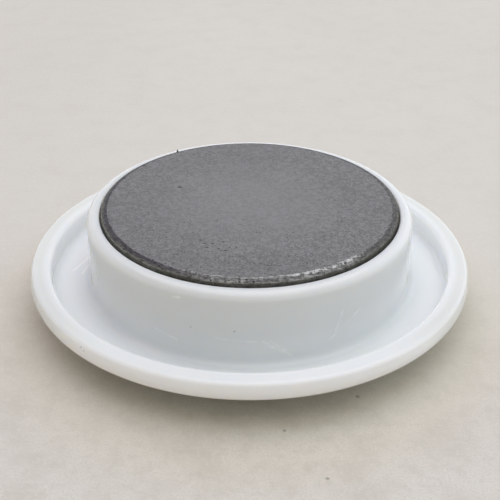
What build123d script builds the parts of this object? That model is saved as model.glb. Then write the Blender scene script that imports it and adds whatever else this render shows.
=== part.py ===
from build123d import *
from math import atan2, cos, sin
import os

# Security tag detacher: a moulded flanged housing filled with bonded ferrite magnets.
# Frame: origin at the centre of the working face, on the surface that the object rests on.
# +Z points from the working face to the magnet's open back. All sizes in millimetres.

# ---------------------------------------------------------------- driving dimensions
FLANGE_R = 54.0          # outer radius of the flange
RIM_CREST_Z = 12.0       # top of the rolled rim, the face that seats on the counter
RIM_INNER_R = 48.95      # inner side of the rim, at the crest
RIM_FOOT_R = 48.75       # inner side of the rim, at the floor (moulding draft)
RIM_INNER_FILLET = 1.2   # crest edge, inner
RIM_OUTER_FILLET = 1.0   # crest edge, outer
RIM_CREST_R = 53.5       # outer corner of the crest; the side leans in from the shoulder
RIM_SHOULDER_Z = 9.7     # height where the side starts to lean in
RIM_SHOULDER_FILLET = 1.8
RIM_FOOT_FILLET = 1.2    # between the rim and the floor
RIM_EDGE_FILLET = 2.0    # lower edge of the flange
RIM_LOW_Z = 7.6          # where the lower rounding meets the dish
FLOOR_Z = 6.65           # floor of the dish, on the magnet side
FACE_FLAT_R = 30.0       # flat part of the working face

COLLAR_R = 39.5          # outside of the collar
COLLAR_LIP_Z = 24.55     # top of the collar
COLLAR_LIP_FILLET = 2.0  # rounding of the lip's outer edge
COLLAR_FOOT_FILLET = 2.2 # between the collar and the floor
LIP_INNER_R = 36.45      # mouth of the collar
POCKET_R = 36.2          # magnet pocket at its bottom (moulding draft)
LIP_INNER_FILLET = 0.3
FACE_INNER_Z = 3.2       # inside of the working face, where the ring magnet is bonded

WELL_R = 12.5            # tag well: straight wall
WELL_DEPTH = 8.3         # from the working face to the well's floor
WELL_MOUTH_FILLET = 1.2
WELL_FLOOR_FILLET = 0.8
WELL_WALL = 1.8          # wall of the well, as seen from inside the housing
WELL_FLOOR_T = 1.6

MAGNET_R = 36.0          # both magnets: standard 72 mm ferrite
DISC_T = 10.0            # disc magnet
RING_T = 12.0            # ring magnet
MAGNET_BEVEL_R = 1.5     # pressed bevel on the magnets' edges, radial
MAGNET_BEVEL_Z = 0.55    # and axial
RING_BORE_R = 16.0
FACE_BOND_T = 0.3
MAGNET_BOND_T = 0.2
CORE_R = 15.5            # soft steel disc in the ring's bore
CORE_T = 5.0
GAP = 0.02               # clearance between a bond line and the wall beside it

# derived levels
RING_Z0 = FACE_INNER_Z + FACE_BOND_T
RING_Z1 = RING_Z0 + RING_T
DISC_Z0 = RING_Z1 + MAGNET_BOND_T
DISC_Z1 = DISC_Z0 + DISC_T
EDGE_BOND_Z0 = DISC_Z0 + 0.8
EDGE_BOND_Z1 = COLLAR_LIP_Z - 1.1

os.makedirs("parts", exist_ok=True)


def pocket_r(z):
    # radius of the drafted magnet pocket at height z
    t = (z - FACE_INNER_Z) / (COLLAR_LIP_Z - FACE_INNER_Z)
    return POCKET_R + t * (LIP_INNER_R - POCKET_R)


# where the dish underneath ends: the lower rounding is tangent to it there and upright at the outside
def dish_end():
    x = FLANGE_R - RIM_EDGE_FILLET
    for _ in range(30):
        slope = 2 * atan2(RIM_LOW_Z, x - FACE_FLAT_R)
        x = FLANGE_R - RIM_EDGE_FILLET * (1 - sin(slope))
    return x, slope


DISH_R1, DISH_SLOPE = dish_end()
RIM_SIDE_Z0 = RIM_LOW_Z + RIM_EDGE_FILLET * cos(DISH_SLOPE)

# ---------------------------------------------------------------- housing
# One revolved moulding: working face with its well, dished flange, rolled rim, collar.
# The section is drawn in XZ (local x = radius, local y = height) and goes once round the outline.
with BuildPart() as housing:
    with BuildSketch(Plane.XZ) as housing_section:
        with BuildLine() as housing_outline:
            # well, from the axis outwards along its floor and down its wall to the mouth
            FilletPolyline(
                (0, WELL_DEPTH),
                (WELL_R, WELL_DEPTH),
                (WELL_R, 0),
                (FACE_FLAT_R, 0),
                radius=[WELL_FLOOR_FILLET, WELL_MOUTH_FILLET],
            )
            # the long curve of the dish, up to the rim's lower rounding
            dish = TangentArc((FACE_FLAT_R, 0), (DISH_R1, RIM_LOW_Z), tangent=(1, 0))
            TangentArc((DISH_R1, RIM_LOW_Z), (FLANGE_R, RIM_SIDE_Z0), tangent=(cos(DISH_SLOPE), sin(DISH_SLOPE)))
            # rim: side, shoulder, crest, inner side; then floor, collar, lip, magnet pocket, outside of the well
            FilletPolyline(
                (FLANGE_R, RIM_SIDE_Z0),
                (FLANGE_R, RIM_SHOULDER_Z),
                (RIM_CREST_R, RIM_CREST_Z),
                (RIM_INNER_R, RIM_CREST_Z),
                (RIM_FOOT_R, FLOOR_Z),
                (COLLAR_R, FLOOR_Z),
                (COLLAR_R, COLLAR_LIP_Z),
                (LIP_INNER_R, COLLAR_LIP_Z),
                (POCKET_R, FACE_INNER_Z),
                (WELL_R + WELL_WALL, FACE_INNER_Z),
                (WELL_R + WELL_WALL, WELL_DEPTH + WELL_FLOOR_T),
                (0, WELL_DEPTH + WELL_FLOOR_T),
                radius=[RIM_SHOULDER_FILLET, RIM_OUTER_FILLET, RIM_INNER_FILLET, RIM_FOOT_FILLET, COLLAR_FOOT_FILLET,
                        COLLAR_LIP_FILLET, LIP_INNER_FILLET, 0.25, 0.6, 0.8],
            )
            Line((0, WELL_DEPTH + WELL_FLOOR_T), (0, WELL_DEPTH))
        make_face()
    revolve(axis=Axis.Z)
housing.part.label = "housing"
export_step(housing.part, "parts/housing.step")

# ---------------------------------------------------------------- magnets
# Sintered ferrite disc that closes the back, with pressed bevels on both edges.
with BuildPart() as disc_magnet:
    with BuildSketch(Plane.XZ) as disc_section:
        with BuildLine():
            Polyline(
                (0, DISC_Z0),
                (MAGNET_R - MAGNET_BEVEL_R, DISC_Z0),
                (MAGNET_R, DISC_Z0 + MAGNET_BEVEL_Z),
                (MAGNET_R, DISC_Z1 - MAGNET_BEVEL_Z),
                (MAGNET_R - MAGNET_BEVEL_R, DISC_Z1),
                (0, DISC_Z1),
                close=True,
            )
        make_face()
    revolve(axis=Axis.Z)
disc_magnet.part.label = "disc_magnet"
export_step(disc_magnet.part, "parts/disc_magnet.step")

# Ferrite ring behind the working face, round the tag well.
with BuildPart() as ring_magnet:
    with BuildSketch(Plane.XZ) as ring_section:
        with BuildLine():
            Polyline(
                (RING_BORE_R, RING_Z0),
                (MAGNET_R - MAGNET_BEVEL_R, RING_Z0),
                (MAGNET_R, RING_Z0 + MAGNET_BEVEL_Z),
                (MAGNET_R, RING_Z1 - MAGNET_BEVEL_Z),
                (MAGNET_R - MAGNET_BEVEL_R, RING_Z1),
                (RING_BORE_R, RING_Z1),
                close=True,
            )
        make_face()
    revolve(axis=Axis.Z)
ring_magnet.part.label = "ring_magnet"
export_step(ring_magnet.part, "parts/ring_magnet.step")

# ---------------------------------------------------------------- steel core
# Turned soft steel disc in the ring's bore, against the disc magnet and behind the well.
with BuildPart() as pole_core:
    with BuildSketch(Plane.XY.offset(RING_Z1 - CORE_T)):
        Circle(CORE_R)
    extrude(amount=CORE_T)
    chamfer(pole_core.edges().group_by(Axis.Z)[0], length=0.5)
pole_core.part.label = "pole_core"
export_step(pole_core.part, "parts/pole_core.step")

# ---------------------------------------------------------------- adhesive
# Layer between the ring magnet and the inside of the working face.
with BuildPart() as face_bond:
    with BuildSketch(Plane.XY.offset(FACE_INNER_Z)):
        Circle(MAGNET_R - MAGNET_BEVEL_R - 0.4)
        Circle(RING_BORE_R + 0.6, mode=Mode.SUBTRACT)
    extrude(amount=FACE_BOND_T)
face_bond.part.label = "face_bond"
export_step(face_bond.part, "parts/face_bond.step")

# Layer between the two magnets. It also holds the steel core to the disc magnet.
with BuildPart() as magnet_bond:
    with BuildSketch(Plane.XY.offset(RING_Z1)):
        Circle(MAGNET_R - MAGNET_BEVEL_R - 0.4)
    extrude(amount=MAGNET_BOND_T)
magnet_bond.part.label = "magnet_bond"
export_step(magnet_bond.part, "parts/magnet_bond.step")

# Bead in the gap between the disc magnet's edge and the collar, its top about a millimetre below the lip.
with BuildPart() as edge_bond:
    with BuildSketch(Plane.XZ) as edge_section:
        with BuildLine():
            Polyline(
                (MAGNET_R + GAP, EDGE_BOND_Z0),
                (pocket_r(EDGE_BOND_Z0) - GAP, EDGE_BOND_Z0),
                (pocket_r(EDGE_BOND_Z1) - GAP, EDGE_BOND_Z1),
                (MAGNET_R + GAP, EDGE_BOND_Z1),
                close=True,
            )
        make_face()
    revolve(axis=Axis.Z)
edge_bond.part.label = "edge_bond"
export_step(edge_bond.part, "parts/edge_bond.step")

for piece in (housing, disc_magnet, ring_magnet, pole_core, face_bond, magnet_bond, edge_bond):
    b = piece.part.bounding_box()
    print(piece.part.label, "solids", len(piece.part.solids()), "valid", piece.part.is_valid,
          "volume mm3", round(piece.part.volume, 1), "z", round(b.min.Z, 3), round(b.max.Z, 3),
          "r", round(b.max.X, 3))
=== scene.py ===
import bpy
import math
from mathutils import Matrix, Vector, noise


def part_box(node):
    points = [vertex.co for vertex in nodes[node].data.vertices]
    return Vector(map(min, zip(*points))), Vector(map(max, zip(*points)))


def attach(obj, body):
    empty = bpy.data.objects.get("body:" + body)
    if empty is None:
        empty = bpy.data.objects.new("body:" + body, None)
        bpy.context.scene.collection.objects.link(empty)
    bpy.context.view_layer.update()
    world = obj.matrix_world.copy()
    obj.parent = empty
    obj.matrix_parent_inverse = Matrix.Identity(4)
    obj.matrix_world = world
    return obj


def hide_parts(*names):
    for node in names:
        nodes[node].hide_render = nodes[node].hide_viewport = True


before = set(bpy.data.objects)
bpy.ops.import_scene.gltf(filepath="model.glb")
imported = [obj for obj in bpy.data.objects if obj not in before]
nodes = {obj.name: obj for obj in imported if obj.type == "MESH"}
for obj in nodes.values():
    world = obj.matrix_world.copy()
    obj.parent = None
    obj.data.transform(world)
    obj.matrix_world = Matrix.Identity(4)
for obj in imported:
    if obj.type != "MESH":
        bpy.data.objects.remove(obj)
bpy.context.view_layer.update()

MM = 0.001
h_lo, h_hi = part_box("housing")
m_lo, m_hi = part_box("disc_magnet")
e_lo, e_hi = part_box("edge_bond")
R_FLANGE = 0.054
LIP_Z = h_hi.z
TOP_Z = m_hi.z


# ------------------------------------------------------------------ small tools
def rnd(seed, n=1):
    """Repeatable pseudo-random numbers from 0 to 1."""
    out = []
    x = (seed * 7919 + 104729) & 0x7FFFFFFF
    for _ in range(n + 3):
        x = (x * 1103515245 + 12345) & 0x7FFFFFFF
        out.append(((x >> 8) & 0xFFFF) / 65535.0)
    return out[3:]


def fillet_path(pts, radii, step_deg=6.0, seg=1.0):
    """A polyline with each inner corner rounded; straight runs are divided to about seg."""
    out = [Vector(pts[0])]

    def run_to(q):
        p = out[-1]
        d = (q - p).length
        n = max(1, int(math.ceil(d / seg)))
        for i in range(1, n + 1):
            out.append(p.lerp(q, i / n))

    for i in range(1, len(pts) - 1):
        a, b, c = Vector(pts[i - 1]), Vector(pts[i]), Vector(pts[i + 1])
        r = radii[i - 1]
        u, v = (a - b).normalized(), (c - b).normalized()
        half = math.acos(max(-1, min(1, u.dot(v)))) / 2
        t = r / math.tan(half)
        p0, p1 = b + u * t, b + v * t
        centre = b + (u + v).normalized() * (r / math.sin(half))
        run_to(p0)
        a0 = math.atan2(p0.y - centre.y, p0.x - centre.x)
        a1 = math.atan2(p1.y - centre.y, p1.x - centre.x)
        d = (a1 - a0 + math.pi) % (2 * math.pi) - math.pi
        n = max(3, int(abs(math.degrees(d)) / step_deg))
        for k in range(1, n + 1):
            w = a0 + d * k / n
            out.append(Vector((centre.x + r * math.cos(w), centre.y + r * math.sin(w))))
    run_to(Vector(pts[-1]))
    return out


def arc_from(p, ang, q, n):
    """Points of the arc that leaves p at angle ang and ends at q, without p itself."""
    p, q = Vector(p), Vector(q)
    t = Vector((math.cos(ang), math.sin(ang)))
    nrm = Vector((-t.y, t.x))
    d = q - p
    r = d.length_squared / (2 * d.dot(nrm))
    c = p + nrm * r
    a0 = math.atan2(p.y - c.y, p.x - c.x)
    a1 = math.atan2(q.y - c.y, q.x - c.x)
    s = (a1 - a0 + math.pi) % (2 * math.pi) - math.pi
    return [Vector((c.x + abs(r) * math.cos(a0 + s * k / n), c.y + abs(r) * math.sin(a0 + s * k / n))) for k in range(1, n + 1)]


def lathe(name, profile, segments, move=None):
    """A closed body of revolution from (r, z) points in millimetres that start and end on the axis, or that close on themselves."""
    on_axis = profile[0].x < 1e-6 and profile[-1].x < 1e-6
    ring = profile[1:-1] if on_axis else profile
    verts, faces = [], []
    for j, p in enumerate(ring):
        for i in range(segments):
            th = 2 * math.pi * i / segments
            r, z = p.x, p.y
            if move:
                r, z = move(r, z, th, j)
            verts.append((r * math.cos(th) * MM, r * math.sin(th) * MM, z * MM))
    n = len(ring)
    for j in range(n if not on_axis else n - 1):
        k = (j + 1) % n
        for i in range(segments):
            i2 = (i + 1) % segments
            faces.append((j * segments + i, j * segments + i2, k * segments + i2, k * segments + i))
    if on_axis:
        first = len(verts)
        verts.append((0, 0, profile[0].y * MM))
        verts.append((0, 0, profile[-1].y * MM))
        for i in range(segments):
            i2 = (i + 1) % segments
            faces.append((first, i2, i))
            faces.append((first + 1, (n - 1) * segments + i, (n - 1) * segments + i2))
    me = bpy.data.meshes.new(name)
    me.from_pydata(verts, [], faces)
    me.validate()
    me.update()
    ob = bpy.data.objects.new(name, me)
    bpy.context.scene.collection.objects.link(ob)
    for p in me.polygons:
        p.use_smooth = True
    # outward normals
    vol = sum(Vector(verts[f.vertices[0]]).dot(f.normal) * f.area for f in me.polygons)
    if vol < 0:
        me.flip_normals()
    return ob


# ------------------------------------------------------------------ materials
class Nodes:
    """Short calls for building a node tree."""

    def __init__(self, name):
        self.mat = bpy.data.materials.new(name)
        self.mat.use_nodes = True
        self.nt = self.mat.node_tree
        self.nt.nodes.clear()
        self.out = self.nt.nodes.new("ShaderNodeOutputMaterial")
        self.bsdf = self.nt.nodes.new("ShaderNodeBsdfPrincipled")
        self.link(self.bsdf.outputs[0], self.out.inputs[0])
        self.co = self.nt.nodes.new("ShaderNodeTexCoord").outputs["Object"]

    def link(self, a, b):
        self.nt.links.new(a, b)

    def put(self, sock, v):
        if isinstance(v, bpy.types.NodeSocket):
            self.link(v, sock)
        else:
            sock.default_value = v

    def mapped(self, scale=(1, 1, 1), loc=(0, 0, 0), rot=(0, 0, 0), src=None):
        n = self.nt.nodes.new("ShaderNodeMapping")
        n.inputs["Scale"].default_value = scale
        n.inputs["Location"].default_value = loc
        n.inputs["Rotation"].default_value = rot
        self.link(src or self.co, n.inputs["Vector"])
        return n.outputs[0]

    def noise(self, scale, detail=4, rough=0.5, src=None, dist=0.0, lac=2.0):
        n = self.nt.nodes.new("ShaderNodeTexNoise")
        n.inputs["Scale"].default_value = scale
        n.inputs["Detail"].default_value = detail
        n.inputs["Roughness"].default_value = rough
        n.inputs["Lacunarity"].default_value = lac
        n.inputs["Distortion"].default_value = dist
        self.link(src or self.co, n.inputs["Vector"])
        return n.outputs["Fac"]

    def voronoi(self, scale, feature="F1", rand=1.0, src=None, out="Distance"):
        n = self.nt.nodes.new("ShaderNodeTexVoronoi")
        n.feature = feature
        n.inputs["Scale"].default_value = scale
        n.inputs["Randomness"].default_value = rand
        self.link(src or self.co, n.inputs["Vector"])
        return n.outputs[out]

    def ramp(self, fac, stops, interp="LINEAR"):
        n = self.nt.nodes.new("ShaderNodeValToRGB")
        n.color_ramp.interpolation = interp
        els = n.color_ramp.elements
        while len(els) < len(stops):
            els.new(0.5)
        for e, (p, c) in zip(els, stops):
            e.position = p
            e.color = (c, c, c, 1) if isinstance(c, (int, float)) else (*c, 1)
        self.link(fac, n.inputs[0])
        return n.outputs[0]

    def math(self, op, a, b=0.0, c=0.0, clamp=False):
        n = self.nt.nodes.new("ShaderNodeMath")
        n.operation = op
        n.use_clamp = clamp
        for s, v in zip(n.inputs, (a, b, c)):
            self.put(s, v)
        return n.outputs[0]

    def mix(self, fac, a, b, blend="MIX"):
        n = self.nt.nodes.new("ShaderNodeMix")
        n.data_type = "RGBA"
        n.blend_type = blend
        self.put(n.inputs[0], fac)
        for s, v in ((n.inputs[6], a), (n.inputs[7], b)):
            if isinstance(v, bpy.types.NodeSocket):
                self.link(v, s)
            else:
                s.default_value = (*v, 1) if len(v) == 3 else v
        return n.outputs[2]

    def maprange(self, v, a, b, c=0.0, d=1.0, smooth=False):
        n = self.nt.nodes.new("ShaderNodeMapRange")
        if smooth:
            n.interpolation_type = "SMOOTHSTEP"
        self.put(n.inputs[0], v)
        for i, x in enumerate((a, b, c, d)):
            self.put(n.inputs[i + 1], x)
        return n.outputs[0]

    def sep(self, src=None):
        n = self.nt.nodes.new("ShaderNodeSeparateXYZ")
        self.link(src or self.co, n.inputs[0])
        return n.outputs

    def radial(self):
        """Radius and angle (degrees, -180 to 180) about the axis."""
        p = self.sep()
        r = self.math("SQRT", self.math("ADD", self.math("MULTIPLY", p[0], p[0]), self.math("MULTIPLY", p[1], p[1])))
        th = self.math("MULTIPLY", self.math("ARCTAN2", p[1], p[0]), 180 / math.pi)
        return r, th, p[2]

    def blob(self, pos, r_full, r_zero, stretch=(1, 1, 1), rot=0.0):
        """1 near a point, falling to 0: for single marks. Sizes in metres."""
        n = self.nt.nodes.new("ShaderNodeVectorMath")
        n.operation = "SUBTRACT"
        self.link(self.co, n.inputs[0])
        n.inputs[1].default_value = pos
        q = self.mapped(stretch, (0, 0, 0), (0, 0, 0), src=n.outputs[0])
        ln = self.nt.nodes.new("ShaderNodeVectorMath")
        ln.operation = "LENGTH"
        self.link(q, ln.inputs[0])
        return self.maprange(ln.outputs["Value"], r_zero, r_full, smooth=True)

    def stroke(self, a, b, width):
        """1 on the straight line from a to b, falling to 0 at the given half width: for single scratches."""
        A, B = Vector(a), Vector(b)
        d = B - A
        sub = self.nt.nodes.new("ShaderNodeVectorMath")
        sub.operation = "SUBTRACT"
        self.link(self.co, sub.inputs[0])
        sub.inputs[1].default_value = A
        dot = self.nt.nodes.new("ShaderNodeVectorMath")
        dot.operation = "DOT_PRODUCT"
        self.link(sub.outputs[0], dot.inputs[0])
        dot.inputs[1].default_value = d / d.length_squared
        t = self.math("MINIMUM", self.math("MAXIMUM", dot.outputs["Value"], 0.0), 1.0)
        sc = self.nt.nodes.new("ShaderNodeVectorMath")
        sc.operation = "SCALE"
        sc.inputs[0].default_value = d
        self.link(t, sc.inputs["Scale"])
        off = self.nt.nodes.new("ShaderNodeVectorMath")
        off.operation = "SUBTRACT"
        self.link(sub.outputs[0], off.inputs[0])
        self.link(sc.outputs[0], off.inputs[1])
        ln = self.nt.nodes.new("ShaderNodeVectorMath")
        ln.operation = "LENGTH"
        self.link(off.outputs[0], ln.inputs[0])
        return self.maprange(ln.outputs["Value"], width, width * 0.25, smooth=True)

    def add_all(self, socks):
        out = socks[0]
        for q in socks[1:]:
            out = self.math("MAXIMUM", out, q)
        return out

    def bump(self, height, strength, distance, normal=None):
        n = self.nt.nodes.new("ShaderNodeBump")
        n.inputs["Strength"].default_value = strength
        n.inputs["Distance"].default_value = distance
        self.link(height, n.inputs["Height"])
        if normal is not None:
            self.link(normal, n.inputs["Normal"])
        return n.outputs[0]


def housing_plastic():
    """Glossy white moulded ABS: faint cloudiness, a soft wave in the gloss, hairline scratches, dust specks."""
    m = Nodes("housing_plastic")
    b = m.bsdf
    cloud = m.noise(28, 3, 0.55)
    base = m.mix(m.maprange(cloud, 0.35, 0.68), (0.835, 0.855, 0.862), (0.860, 0.876, 0.882))
    # painted shade: the rim is darker at the left and right; painted light: its outer front side is lighter
    r, th, zz = m.radial()
    p = m.sep()
    across = m.maprange(m.math("DIVIDE", m.math("ABSOLUTE", p[0]), r), 0.55, 0.85, smooth=True)
    rim_side_shade = m.math("MULTIPLY", m.math("MULTIPLY", m.maprange(r, 0.0502, 0.0514), across), m.maprange(cloud, 0.3, 0.6, 0.75, 1.0))
    base = m.mix(rim_side_shade, base, (0.925, 0.918, 0.890), blend="MULTIPLY")
    # painted light: the outer front side of the rim is lighter
    toward = m.maprange(m.math("DIVIDE", m.math("MULTIPLY", p[1], -1.0), r), 0.45, 0.80, smooth=True)
    base = m.mix(m.math("MULTIPLY", m.maprange(r, 0.0530, 0.0536), toward), base, (0.950, 0.950, 0.935))
    # painted shade: the collar is darker towards its lip, and the lip is darker, most at the left
    collar_wall_shade = m.math("MULTIPLY", m.maprange(r, 0.0386, 0.0394), m.maprange(r, 0.0400, 0.0397))
    collar_wall_shade = m.math("MULTIPLY", collar_wall_shade, m.maprange(zz, 0.009, 0.022, 0.1, 1.0))
    collar_wall_shade = m.math("MULTIPLY", collar_wall_shade, m.maprange(zz, 0.0240, 0.0226))
    base = m.mix(collar_wall_shade, base, (0.935, 0.945, 0.935), blend="MULTIPLY")
    lip_left_shade = m.math("MULTIPLY", m.maprange(zz, 0.0234, 0.0242), m.maprange(p[0], 0.030, -0.030, 0.35, 1.0))
    base = m.mix(lip_left_shade, base, (0.950, 0.948, 0.935), blend="MULTIPLY")
    # dust specks and tiny dark inclusions
    sp = m.voronoi(210, src=m.mapped((1, 1, 1), (0.013, 0.007, 0.003)))
    gate = m.noise(160, 0, 0.5, src=m.mapped((1, 1, 1), (0.5, 0.2, 0.9)))
    speck = m.math("MULTIPLY", m.maprange(sp, 0.035, 0.02), m.maprange(gate, 0.62, 0.66))
    base = m.mix(m.math("MULTIPLY", speck, 0.5), base, (0.33, 0.33, 0.32))
    spots = [((-0.00319, -0.03937, 0.01523), 0.00012, 0.00034), ((-0.03523, -0.01786, 0.01479), 0.00012, 0.00042),
             ((0.04865, -0.0110, 0.00820), 0.0002, 0.0006), ((-0.0365, -0.0394, 0.01100), 0.0001, 0.0003),
             ((-0.0359, -0.0402, 0.01050), 0.0001, 0.00026), ((-0.0372, -0.0384, 0.01120), 0.0001, 0.00024),
             ((-0.01272, -0.0374, 0.01500), 0.0001, 0.00025)]
    dots = m.add_all([m.blob(*q) for q in spots])
    base = m.mix(m.math("MULTIPLY", dots, 0.45), base, (0.25, 0.25, 0.24))
    # rub marks on the collar's front, paler than the plastic round them
    lines = [((0.0030, -0.0394, 0.01260), (0.0091, -0.03845, 0.00840)), ((0.0046, -0.0393, 0.01250), (0.0080, -0.0387, 0.00970)),
             ((0.0040, -0.0393, 0.01120), (0.0064, -0.0390, 0.01050)), ((-0.0073, -0.0388, 0.01310), (0.0013, -0.0395, 0.01260)),
             ((0.0245, -0.0310, 0.01570), (0.0175, -0.0354, 0.01020)), ((0.0205, -0.0338, 0.01720), (0.0190, -0.0346, 0.01200)),
             ((-0.0210, -0.0334, 0.01200), (-0.0160, -0.0361, 0.01080)), ((-0.0165, -0.0359, 0.02180), (-0.0150, -0.0365, 0.02210))]
    rubs = m.add_all([m.stroke(p, q, 0.00040) for p, q in lines])
    # painted reflections: two longer pale streaks on the floor of the dish, at the left
    floor_reflection_streaks = m.add_all([m.stroke((-0.04434, -0.00069, 0.00665), (-0.04144, 0.00571, 0.00665), 0.00055), m.stroke((-0.04187, -0.00211, 0.00665), (-0.0409, 0.00175, 0.00665), 0.00045)])
    broken = m.maprange(m.noise(900, 3, 0.6, src=m.mapped((1, 1, 1), (0.4, 0.1, 0.2))), 0.42, 0.62)
    rubs = m.math("MULTIPLY", rubs, m.math("ADD", 0.25, m.math("MULTIPLY", broken, 0.75)))
    base = m.mix(m.math("MULTIPLY", rubs, 0.85), base, (0.95, 0.97, 0.98))
    base = m.mix(m.math("MULTIPLY", floor_reflection_streaks, 1.0), base, (0.99, 0.99, 0.99))
    m.put(b.inputs["Base Color"], base)
    smear = m.noise(60, 5, 0.6, src=m.mapped((1, 1, 3.0), (0.2, 0.1, 0.4)))
    m.put(b.inputs["Roughness"], m.maprange(smear, 0.3, 0.75, 0.05, 0.11))
    b.inputs["IOR"].default_value = 1.5
    b.inputs["Subsurface Weight"].default_value = 1.0
    b.inputs["Subsurface Radius"].default_value = (1.0, 0.95, 0.85)
    b.inputs["Subsurface Scale"].default_value = 0.0028
    wave = m.noise(38, 1.5, 0.5, src=m.mapped((1, 1, 1), (0.1, 0.3, 0.2)))
    peel = m.noise(900, 2, 0.5)
    scratch = m.noise(420, 3, 0.62, src=m.mapped((0.12, 1.0, 0.5), (0.3, 0.1, 0), (0, 0, 0.7)))
    scr = m.maprange(scratch, 0.66, 0.78)
    n1 = m.bump(wave, 0.3, 0.0002)
    n2 = m.bump(peel, 0.04, 0.0001, n1)
    n3 = m.bump(scr, 0.10, -0.00005, n2)
    m.put(b.inputs["Normal"], n3)
    return m.mat


def ferrite(name="ferrite_magnet", worn=True):
    """Sintered ferrite: ground faces are lighter and grainy, the pressed bevel and the side keep their dark skin."""
    m = Nodes(name)
    b = m.bsdf
    geo = m.nt.nodes.new("ShaderNodeNewGeometry")
    nz = m.math("ABSOLUTE", m.sep(geo.outputs["True Normal"])[2])
    r, th, zz = m.radial()
    jag = m.noise(700, 3, 0.6, src=m.mapped((1, 1, 1), (0.2, 0.7, 0.4)))
    grain = m.noise(2100, 2, 0.6)
    fine = m.noise(950, 4, 0.65, src=m.mapped((1, 1, 1), (0.3, 0.1, 0.2)))
    cloud = m.noise(55, 4, 0.55, src=m.mapped((1, 1, 1), (0.7, 0.1, 0.2)))
    # streaks that run round the edge: long in the angle, short in the radius; the seam is at the back
    p = m.sep()
    round_front = m.math("MULTIPLY", m.math("ARCTAN2", p[0], m.math("MULTIPLY", p[1], -1.0)), 28.0)
    comb = m.nt.nodes.new("ShaderNodeCombineXYZ")
    m.link(m.math("MULTIPLY", r, 3400.0), comb.inputs[0])
    m.link(round_front, comb.inputs[1])
    m.link(m.math("MULTIPLY", zz, 3400.0), comb.inputs[2])
    streak = m.noise(1.0, 3, 0.6, src=comb.outputs[0])
    # 1 on the ground flat face, 0 on the bevel and the side; the border is slightly ragged
    rj = m.math("ADD", r, m.math("MULTIPLY", m.math("SUBTRACT", jag, 0.5), 0.0011))
    ground = m.math("MULTIPLY", m.maprange(rj, 0.03462, 0.03432, smooth=True), m.maprange(nz, 0.6, 0.8))
    side = m.maprange(nz, 0.55, 0.35)
    mottled = m.math("ADD", m.math("MULTIPLY", grain, 0.5), m.math("MULTIPLY", fine, 0.5))
    face = m.mix(m.maprange(mottled, 0.42, 0.58), FACE_A, FACE_B)
    face = m.mix(m.maprange(cloud, 0.38, 0.66, 0.0, 0.30), face, FACE_C)
    # painted sheen: the middle of the ground face is a little brighter
    face_centre_sheen = m.maprange(m.math("ADD", r, m.math("MULTIPLY", m.math("SUBTRACT", cloud, 0.5), 0.02)), 0.030, 0.006, smooth=True)
    face = m.mix(m.math("MULTIPLY", face_centre_sheen, 0.40), face, (0.220, 0.216, 0.219))
    both = m.math("ADD", m.math("MULTIPLY", fine, 0.4), m.math("MULTIPLY", streak, 0.6))
    tone = m.maprange(both, 0.40, 0.62)
    # the skin is darkest beside the ground face and greener and paler towards the outer edge
    outer = m.maprange(m.math("ADD", r, m.math("MULTIPLY", m.math("SUBTRACT", streak, 0.5), 0.0016)), 0.0350, 0.0358, smooth=True)
    skin = m.mix(tone, SKIN_A, SKIN_B)
    skin = m.mix(outer, skin, m.mix(tone, OUTER_SKIN_A, OUTER_SKIN_B))
    # painted light: the right-hand part of the bevel is paler
    bevel_right_light = m.math("MULTIPLY", m.maprange(th, -62.0, -40.0), m.maprange(th, 40.0, 15.0))
    skin = m.mix(m.math("MULTIPLY", bevel_right_light, 0.45), skin, m.mix(tone, (0.060, 0.060, 0.052), (0.165, 0.163, 0.145)))
    flank = m.mix(m.maprange(both, 0.38, 0.64), SIDE_A, SIDE_B)
    col = m.mix(side, m.mix(ground, skin, face), flank)
    rough = m.maprange(mottled, 0.36, 0.66, 0.36, 0.50)
    rough = m.math("ADD", m.math("MULTIPLY", rough, ground), m.math("MULTIPLY", m.maprange(both, 0.4, 0.62, 0.62, 0.48), m.math("SUBTRACT", 1.0, ground)))
    if worn:
        # the front of the bevel is rubbed down to bare material and painted lighter as sheen; its inner edge is chipped
        # and carries a painted glint
        front = m.math("MULTIPLY", m.maprange(th, -126.0, -98.0, smooth=True), m.maprange(th, -38.0, -56.0, smooth=True))
        band = m.math("MULTIPLY", m.maprange(rj, 0.0341, 0.0344), m.maprange(r, 0.03605, 0.0358))
        bare_and_sheen = m.mix(m.maprange(both, 0.40, 0.60), BARE_AND_SHEEN_A, BARE_AND_SHEEN_B)
        col = m.mix(m.math("MULTIPLY", m.math("MULTIPLY", front, band), m.maprange(jag, 0.40, 0.56, 0.25, 1.0)), col, bare_and_sheen)
        # dark flecks along the outer edge of the bevel and where the rubbed band meets it
        fleck = m.maprange(m.noise(1900, 3, 0.7, src=m.mapped((1, 1, 1), (0.4, 0.8, 0.1))), 0.60, 0.66)
        fleck = m.math("MULTIPLY", fleck, m.maprange(r, 0.0344, 0.0350))
        col = m.mix(m.math("MULTIPLY", fleck, 0.7), col, (0.016, 0.015, 0.014))
        # painted highlight: a broken bright line on the inner edge
        wide = m.maprange(th, -80.0, -62.0, 0.0346, 0.03505)
        glint_band = m.math("MULTIPLY", m.maprange(rj, 0.03390, 0.03420), m.maprange(m.math("SUBTRACT", rj, wide), 0.00015, -0.0001))
        run = m.math("MULTIPLY", m.maprange(th, -96.0, -76.0, 0.15, 1.0), m.math("MULTIPLY", m.maprange(th, -100.0, -95.0), m.maprange(th, -42.0, -50.0)))
        run2 = m.math("MULTIPLY", m.math("MULTIPLY", m.maprange(th, -124.0, -119.0), m.maprange(th, -94.0, -98.0)), 0.24)
        bits = m.maprange(m.noise(1150, 3, 0.72, src=m.mapped((1, 1, 1), (0.9, 0.2, 0.6))), 0.47, 0.56)
        glint = m.math("MULTIPLY", m.math("MULTIPLY", glint_band, m.math("MAXIMUM", run, run2)), bits)
        col = m.mix(m.math("MULTIPLY", glint, 0.92), col, GLINT)
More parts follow.
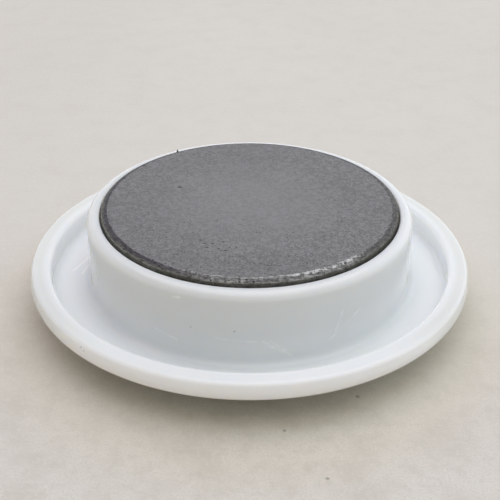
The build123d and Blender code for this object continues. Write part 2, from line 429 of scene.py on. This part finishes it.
        # painted highlight: a thin pale line where the bevel turns into the side, on the left
        thin = m.math("MULTIPLY", m.maprange(r, 0.03570, 0.03585), m.maprange(r, 0.03605, 0.03595))
        left = m.math("MAXIMUM", m.maprange(th, -118.0, -126.0), m.maprange(th, 170.0, 178.0))
        line_bits = m.maprange(streak, 0.36, 0.52)
        edge_highlight = m.math("MULTIPLY", m.math("MULTIPLY", thin, left), m.math("MULTIPLY", line_bits, 0.75))
        col = m.mix(edge_highlight, col, (0.24, 0.24, 0.22))
        rough = m.math("SUBTRACT", rough, m.math("MULTIPLY", glint, 0.18))
    # pits and pores, thicker towards the front
    cells = m.nt.nodes.new("ShaderNodeTexVoronoi")
    cells.voronoi_dimensions = "2D"
    cells.inputs["Scale"].default_value = 1300
    m.link(m.mapped((1, 1, 1), (0.02, 0.05, 0.01)), cells.inputs["Vector"])
    pick = m.nt.nodes.new("ShaderNodeSeparateColor")
    m.link(cells.outputs["Color"], pick.inputs[0])
    patch = m.noise(95, 3, 0.6, src=m.mapped((1, 1, 1), (0.11, 0.42, 0.3)))
    toward = m.maprange(p[1], -0.007, -0.030, 0.0, 0.36)
    chance = m.math("ADD", m.maprange(patch, 0.42, 0.70, 0.0, 0.08), toward)
    on = m.maprange(m.math("SUBTRACT", chance, pick.outputs[0]), 0.0, 0.02)
    size = m.math("ADD", m.math("MULTIPLY", pick.outputs[1], 0.24), 0.08)
    pore = m.math("MULTIPLY", m.maprange(m.math("SUBTRACT", cells.outputs["Distance"], size), 0.06, -0.08), on)
    pore = m.math("MULTIPLY", pore, m.maprange(pick.outputs[2], 0.0, 1.0, 0.55, 1.0))
    pore = m.math("MULTIPLY", pore, m.maprange(nz, 0.6, 0.8))
    if worn:
        pits = [((-0.0112, -0.0184, 0.0257), 0.0002, 0.00046), ((-0.0084, -0.0198, 0.0257), 0.0002, 0.00052),
                ((-0.0054, -0.0229, 0.0257), 0.0002, 0.00046), ((-0.0095, -0.0216, 0.0257), 0.0002, 0.00044),
                ((-0.0175, 0.0081, 0.0257), 0.0003, 0.00078), ((-0.0070, -0.0222, 0.0257), 0.0002, 0.00044),
                ((-0.0060, -0.0190, 0.0257), 0.0002, 0.00040), ((-0.0102, -0.0198, 0.0257), 0.0002, 0.00040)]
        pore = m.math("MAXIMUM", pore, m.add_all([m.blob(*q) for q in pits]))
    col = m.mix(m.math("MULTIPLY", pore, 0.80), col, (0.018, 0.016, 0.016))
    m.put(b.inputs["Base Color"], col)
    m.put(b.inputs["Roughness"], rough)
    b.inputs["IOR"].default_value = 1.8
    m.put(b.inputs["Specular IOR Level"], m.math("SUBTRACT", m.maprange(ground, 0.0, 1.0, 0.22, 0.5), m.math("MULTIPLY", pore, 0.2)))
    h = m.math("ADD", m.math("MULTIPLY", grain, 0.6), m.math("MULTIPLY", fine, 0.8))
    n1 = m.bump(h, 0.6, 0.00018)
    n2 = m.bump(pore, 0.8, -0.00020, n1)
    m.put(b.inputs["Normal"], n2)
    return m.mat


FACE_A, FACE_B, FACE_C = (0.052, 0.050, 0.051), (0.183, 0.178, 0.181), (0.092, 0.087, 0.092)
SKIN_A, SKIN_B = (0.016, 0.013, 0.017), (0.075, 0.066, 0.077)
OUTER_SKIN_A, OUTER_SKIN_B = (0.040, 0.040, 0.033), (0.140, 0.137, 0.118)
SIDE_A, SIDE_B = (0.040, 0.040, 0.032), (0.100, 0.098, 0.082)
BARE_AND_SHEEN_A, BARE_AND_SHEEN_B = (0.085, 0.083, 0.077), (0.350, 0.345, 0.328)
GLINT = (0.62, 0.62, 0.61)


def steel():
    m = Nodes("core_steel")
    b = m.bsdf
    p = m.sep()
    r = m.math("SQRT", m.math("ADD", m.math("MULTIPLY", p[0], p[0]), m.math("MULTIPLY", p[1], p[1])))
    comb = m.nt.nodes.new("ShaderNodeCombineXYZ")
    m.link(r, comb.inputs[0])
    m.link(p[2], comb.inputs[2])
    lines = m.noise(2600, 3, 0.7, src=comb.outputs[0])
    cloud = m.noise(120, 4, 0.6)
    m.put(b.inputs["Base Color"], m.mix(m.maprange(cloud, 0.3, 0.7), (0.46, 0.455, 0.45), (0.60, 0.59, 0.575)))
    b.inputs["Metallic"].default_value = 1.0
    m.put(b.inputs["Roughness"], m.maprange(lines, 0.3, 0.7, 0.26, 0.44))
    m.put(b.inputs["Normal"], m.bump(lines, 0.25, 0.00005))
    return m.mat


def adhesive():
    m = Nodes("adhesive")
    b = m.bsdf
    lump = m.noise(320, 4, 0.6)
    m.put(b.inputs["Base Color"], m.mix(m.maprange(lump, 0.3, 0.7), (0.020, 0.014, 0.009), (0.075, 0.045, 0.024)))
    m.put(b.inputs["Roughness"], m.maprange(lump, 0.3, 0.7, 0.25, 0.5))
    m.put(b.inputs["Normal"], m.bump(lump, 0.6, 0.0002))
    return m.mat


TABLE_A, TABLE_B = (0.698, 0.661, 0.602), (0.730, 0.692, 0.631)
TABLE_LEFT_SHADE, TABLE_DARK, TABLE_PALE = (0.667, 0.629, 0.572), (0.615, 0.573, 0.512), (0.771, 0.735, 0.670)


def table_paper():
    """Warm pale grey paper with faint mottling and a few fibres."""
    m = Nodes("table_paper")
    b = m.bsdf
    big = m.noise(9, 3, 0.55)
    mid = m.noise(95, 5, 0.62, src=m.mapped((1, 1, 1), (0.3, 0.6, 0)))
    coarse = m.noise(230, 4, 0.6, src=m.mapped((1, 1, 1), (0.15, 0.35, 0)))
    fine = m.noise(900, 3, 0.6)
    # painted shade: the paper is a little darker on the left; it is rougher-looking towards the front
    p = m.sep()
    near = m.maprange(p[1], 0.03, -0.08, smooth=True)
    col = m.mix(m.maprange(big, 0.3, 0.7), TABLE_A, TABLE_B)
    col = m.mix(m.maprange(p[0], -0.02, -0.09, 0.0, 0.55, smooth=True), col, TABLE_LEFT_SHADE)
    col = m.mix(m.math("MULTIPLY", m.maprange(mid, 0.46, 0.68, 0.0, 0.75), m.maprange(near, 0.0, 1.0, 0.35, 1.0)), col, TABLE_DARK)
    col = m.mix(m.math("MULTIPLY", m.maprange(coarse, 0.50, 0.66, 0.0, 0.6), near), col, TABLE_DARK)
    col = m.mix(m.maprange(fine, 0.52, 0.72, 0.0, 0.55), col, TABLE_PALE)
    grit = m.noise(2200, 2, 0.6, src=m.mapped((1, 1, 1), (0.45, 0.25, 0)))
    col = m.mix(m.math("MULTIPLY", m.maprange(grit, 0.50, 0.68, 0.0, 0.8), m.maprange(near, 0.0, 1.0, 0.2, 1.0)), col, TABLE_DARK)
    # painted shadow: a warmer, darker patch of paper round and before the object
    painted_shadow_radius = m.math("SQRT", m.math("ADD", m.math("MULTIPLY", p[0], p[0]), m.math("POWER", m.math("ADD", p[1], 0.008), 2.0)))
    col = m.mix(m.maprange(painted_shadow_radius, 0.073, 0.052, 0.0, 1.0, smooth=True), col, (0.955, 0.938, 0.895), blend="MULTIPLY")
    specks = [((0.00747, -0.05375, 0), 0.00015, 0.0006), ((0.01559, -0.06813, 0), 0.00015, 0.0006), ((0.02385, -0.04232, 0), 0.0002, 0.0007)]
    dots = m.add_all([m.blob(*q) for q in specks])
    col = m.mix(m.math("MULTIPLY", dots, 0.6), col, (0.20, 0.19, 0.17))
    m.put(b.inputs["Base Color"], col)
    b.inputs["Roughness"].default_value = 0.75
    b.inputs["Specular IOR Level"].default_value = 0.3
    m.put(b.inputs["Normal"], m.bump(m.math("ADD", mid, m.math("MULTIPLY", fine, 0.4)), 0.25, 0.00018))
    return m.mat


# ------------------------------------------------------------------ housing: the same section as the CAD node, smooth and dense
FLANGE_R, RIM_CREST_Z, RIM_INNER_R, RIM_FOOT_R = 54.0, 12.0, 48.95, 48.75
FLOOR_Z, FACE_FLAT_R, COLLAR_R = 6.65, 30.0, 39.5
COLLAR_LIP_Z = LIP_Z / MM
LIP_INNER_R, POCKET_R, FACE_INNER_Z = 36.45, 36.2, 3.2
WELL_R, WELL_DEPTH, WELL_WALL, WELL_FLOOR_T = 12.5, 8.3, 1.8, 1.6
RIM_LOW_Z, EDGE_F = 7.6, 2.0
RIM_SHOULDER_Z, RIM_CREST_R = 9.7, 53.5

x = FLANGE_R - EDGE_F
for _ in range(30):
    slope = 2 * math.atan2(RIM_LOW_Z, x - FACE_FLAT_R)
    x = FLANGE_R - EDGE_F * (1 - math.sin(slope))
side_z0 = RIM_LOW_Z + EDGE_F * math.cos(slope)

prof = fillet_path([(0, WELL_DEPTH), (WELL_R, WELL_DEPTH), (WELL_R, 0), (FACE_FLAT_R, 0)], [0.8, 1.2], 10, 2.0)
prof += arc_from((FACE_FLAT_R, 0), 0.0, (x, RIM_LOW_Z), 18)
prof += arc_from((x, RIM_LOW_Z), slope, (FLANGE_R, side_z0), 8)
prof += fillet_path(
    [(FLANGE_R, side_z0), (FLANGE_R, RIM_SHOULDER_Z), (RIM_CREST_R, RIM_CREST_Z), (RIM_INNER_R, RIM_CREST_Z), (RIM_FOOT_R, FLOOR_Z), (COLLAR_R, FLOOR_Z),
     (COLLAR_R, COLLAR_LIP_Z), (LIP_INNER_R, COLLAR_LIP_Z), (POCKET_R, FACE_INNER_Z), (WELL_R + WELL_WALL, FACE_INNER_Z),
     (WELL_R + WELL_WALL, WELL_DEPTH + WELL_FLOOR_T), (0, WELL_DEPTH + WELL_FLOOR_T)],
    [1.8, 1.0, 1.2, 1.2, 2.2, 2.0, 0.3, 0.25, 0.6, 0.8], 7.5, 1.2)[1:]

SEG_H = 400
housing = lathe("housing_shell", prof, SEG_H)
housing.data.materials.append(housing_plastic())
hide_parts("housing")
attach(housing, "root")

# ------------------------------------------------------------------ disc magnet: ground face, chipped pressed bevel
M_R, BEV_R, BEV_Z = 36.0, 1.5, 0.55
top_z, bot_z = TOP_Z / MM, m_lo.z / MM


def magnet_profile():
    pts = [(0, bot_z), (M_R - BEV_R, bot_z), (M_R, bot_z + BEV_Z), (M_R, top_z - 3.0), (M_R, top_z - BEV_Z), (M_R - BEV_R, top_z), (M_R - 4.0, top_z)]
    p = []
    p += [Vector((0, bot_z)), Vector((10, bot_z)), Vector((20, bot_z)), Vector((30, bot_z)), Vector((M_R - BEV_R, bot_z))]
    p += [Vector((M_R, bot_z + BEV_Z)), Vector((M_R, bot_z + 2)), Vector((M_R, bot_z + 4)), Vector((M_R, top_z - 3.0)), Vector((M_R, top_z - 1.6))]
    # side near the top, rounded corner, bevel, rounded inner corner, then the face
    edge = fillet_path([(M_R, top_z - 1.6), (M_R, top_z - BEV_Z), (M_R - BEV_R, top_z), (M_R - 4.2, top_z)], [0.35, 1.1], 12, 0.17)
    p += edge[1:]
    r = M_R - 4.2
    step = 0.25
    while r - step > 0.6:
        r -= step
        step = min(step * 1.12, 0.9)
        p.append(Vector((r, top_z)))
    p.append(Vector((0, top_z)))
    return p


def chips(r, z, th, j):
    """Small chips and a slightly ragged run along the bevel's edges."""
    if z < top_z - 2.2:
        return r, z
    X, Y = r * math.cos(th), r * math.sin(th)
    edge = 1.0 if r > M_R - 3.6 else 0.0
    if edge:
        # ragged inner edge of the bevel and lower edge at the side
        a = noise.noise(Vector((X * 0.9, Y * 0.9, 3.1)))
        b = noise.noise(Vector((X * 2.4, Y * 2.4, 7.7)))
        c = noise.noise(Vector((X * 4.5, Y * 4.5, 1.3)))
        d_in = math.exp(-((r - (M_R - BEV_R)) / 0.55) ** 2)
        d_out = math.exp(-((r - M_R) / 0.35) ** 2) * (1.0 if z > top_z - 1.2 else 0.3)
        chip = max(0.0, b * 0.9 + a * 0.5 - 0.28) * 0.34 + max(0.0, c - 0.35) * 0.16
        z -= d_in * (0.02 * a + chip)
        drop = max(0.0, b + 0.4 * a - 0.2) * 0.5
        r -= d_out * (0.05 * max(0.0, c) + 0.10 * drop)
        z -= d_out * 0.10 * drop
        if r > M_R - BEV_R:
            z += 0.018 * c
        # a hair-thin flake that stands up at the back of the edge
        w = abs(math.degrees(th) - 123.0)
        if w < 0.4 and r > M_R - 1.1:
            z += 1.05 * (1 - w / 0.4) * math.exp(-((r - (M_R - 0.25)) / 0.3) ** 2)
    return r, z


magnet = lathe("disc_magnet_detail", magnet_profile(), 1100, chips)
magnet.data.materials.append(ferrite())
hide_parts("disc_magnet")
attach(magnet, "root")


def finish(name, mat):
    o = nodes[name]
    o.data.materials.clear()
    o.data.materials.append(mat)
    for p in o.data.polygons:
        p.material_index = 0


finish("ring_magnet", ferrite("ring_ferrite", worn=False))
finish("pole_core", steel())
glue = adhesive()
for n in ("face_bond", "magnet_bond", "edge_bond"):
    finish(n, glue)

# ------------------------------------------------------------------ table
TABLE_Z = -0.00002
me = bpy.data.meshes.new("table_top")
N, S = 60, 1.6
vs = [((-S + 2 * S * i / N), (-S + 2 * S * j / N), TABLE_Z) for j in range(N + 1) for i in range(N + 1)]
fs = [(j * (N + 1) + i, j * (N + 1) + i + 1, (j + 1) * (N + 1) + i + 1, (j + 1) * (N + 1) + i) for j in range(N) for i in range(N)]
me.from_pydata(vs, [], fs)
table = bpy.data.objects.new("table_top", me)
bpy.context.scene.collection.objects.link(table)
table.data.materials.append(table_paper())

# ------------------------------------------------------------------ camera
Z0 = 0.01065
L, H, PIT, YAW, ROL, F = 0.2193, 0.1307, 0.532, 0.001, 0.004, 1019.2
cam_d = bpy.data.cameras.new("camera")
cam = bpy.data.objects.new("camera", cam_d)
bpy.context.scene.collection.objects.link(cam)
cam_d.sensor_width = 36.0
cam_d.lens = F * 36.0 / 500.0
cam_d.shift_x = -0.0010
cam_d.shift_y = 0.0010
cam_d.clip_start = 0.01
cam_d.clip_end = 20.0
cy, sy, cp, sp = math.cos(YAW), math.sin(YAW), math.cos(PIT), math.sin(PIT)
cr, sr = math.cos(ROL), math.sin(ROL)
Rx, Fh = Vector((cy, -sy, 0)), Vector((sy, cy, 0))
Fw = Fh * cp - Vector((0, 0, sp))
Up = Fh * sp + Vector((0, 0, cp))
R = Rx * cr + Up * sr
U = Up * cr - Rx * sr
rot = Matrix((R, U, -Fw)).transposed().to_4x4()
cam.matrix_world = Matrix.Translation(Vector((0, -L, H + Z0))) @ rot
bpy.context.scene.camera = cam

# ------------------------------------------------------------------ light
scene = bpy.context.scene
scene.view_settings.view_transform = "Standard"
scene.view_settings.look = "None"
scene.view_settings.exposure = 0.0
scene.view_settings.gamma = 1.0


def studio_world(bands, top, edges):
    """Soft studio surroundings: bands of light round the horizon, brighter behind and above."""
    w = bpy.data.worlds.new("studio")
    w.use_nodes = True
    nt = w.node_tree
    nt.nodes.clear()
    out = nt.nodes.new("ShaderNodeOutputWorld")
    bg = nt.nodes.new("ShaderNodeBackground")
    nt.links.new(bg.outputs[0], out.inputs[0])
    tc = nt.nodes.new("ShaderNodeTexCoord")
    sep = nt.nodes.new("ShaderNodeSeparateXYZ")
    nt.links.new(tc.outputs["Generated"], sep.inputs[0])

    def mth(op, a, b=0.0, clamp=False):
        n = nt.nodes.new("ShaderNodeMath")
        n.operation = op
        n.use_clamp = clamp
        for sk, v in zip(n.inputs, (a, b)):
            if isinstance(v, bpy.types.NodeSocket):
                nt.links.new(v, sk)
            else:
                sk.default_value = v
        return n.outputs[0]

    x, y, z = sep.outputs
    el = mth("MULTIPLY", mth("ARCSINE", z), 180 / math.pi)
    # 0.5 straight behind the object, growing to the right
    turn = mth("ADD", mth("MULTIPLY", mth("ARCTAN2", x, y), 0.5 / math.pi), 0.5)
    peak = max([max(c) for b in bands for c in b] + [max(top)])

    def mix(f, a, b):
        n = nt.nodes.new("ShaderNodeMix")
        n.data_type = "RGBA"
        nt.links.new(f, n.inputs[0])
        for sk, v in ((n.inputs[6], a), (n.inputs[7], b)):
            if isinstance(v, bpy.types.NodeSocket):
                nt.links.new(v, sk)
            else:
                sk.default_value = (*v, 1)
        return n.outputs[2]

    col = None
    for i, cols in enumerate(bands):
        n = len(cols)
        half = 180.0 / n - 8.0
        stops = []
        for k, c in enumerate(cols):
            a = k * 360.0 / n
            for e in (a - half, a + half):
                e = (e + 180.0) % 360.0
                stops.append((e / 360.0, [q / peak for q in c]))
        stops.sort()
        ramp = nt.nodes.new("ShaderNodeValToRGB")
        els = ramp.color_ramp.elements
        while len(els) < len(stops):
            els.new(0.5)
        for e, (p, c) in zip(els, stops):
            e.position = p
            e.color = (*c, 1)
        nt.links.new(turn, ramp.inputs[0])
        if col is None:
            col = ramp.outputs[0]
        else:
            at, soft = edges[i - 1]
            col = mix(mth("DIVIDE", mth("SUBTRACT", el, at - soft / 2), soft, True), col, ramp.outputs[0])
    at, soft = edges[-1]
    col = mix(mth("DIVIDE", mth("SUBTRACT", el, at - soft / 2), soft, True), col, [q / peak for q in top])
    nt.links.new(col, bg.inputs["Color"])
    nt.links.new(mth("MULTIPLY", mth("ADD", el, 6.5, True), peak), bg.inputs["Strength"])
    return w


ENV_BANDS = [
    [(1.26, 1.302, 1.383), (1.167, 1.169, 1.27), (0.79, 0.738, 0.804), (0.559, 0.466, 0.501), (0.566, 0.487, 0.436), (0.549, 0.493, 0.37), (0.691, 0.667, 0.579), (1.028, 1.049, 1.068)],
    [(0.87, 0.887, 0.897), (1.092, 1.161, 1.233), (0.784, 0.841, 0.881), (0.495, 0.505, 0.546), (0.474, 0.5, 0.522), (0.316, 0.313, 0.285), (0.378, 0.383, 0.374), (0.717, 0.759, 0.813)],
    [(0.506, 0.524, 0.546), (0.809, 0.916, 0.961), (0.569, 0.722, 0.708), (0.212, 0.359, 0.338), (0.153, 0.259, 0.228), (0.0, 0.0, 0.0), (0.0, 0.0, 0.0), (0.375, 0.394, 0.477)],
    [(1.916, 1.749, 1.903), (1.933, 1.839, 1.893), (1.533, 1.482, 1.425), (1.273, 1.184, 1.073), (1.133, 0.936, 0.9), (1.385, 1.159, 1.28)],
]
ENV_TOP = (1.71, 1.838, 1.99)
scene.world = studio_world(ENV_BANDS, ENV_TOP, [(14.0, 4.0), (31.4, 0.5), (50.0, 6.0), (68.0, 6.0)])
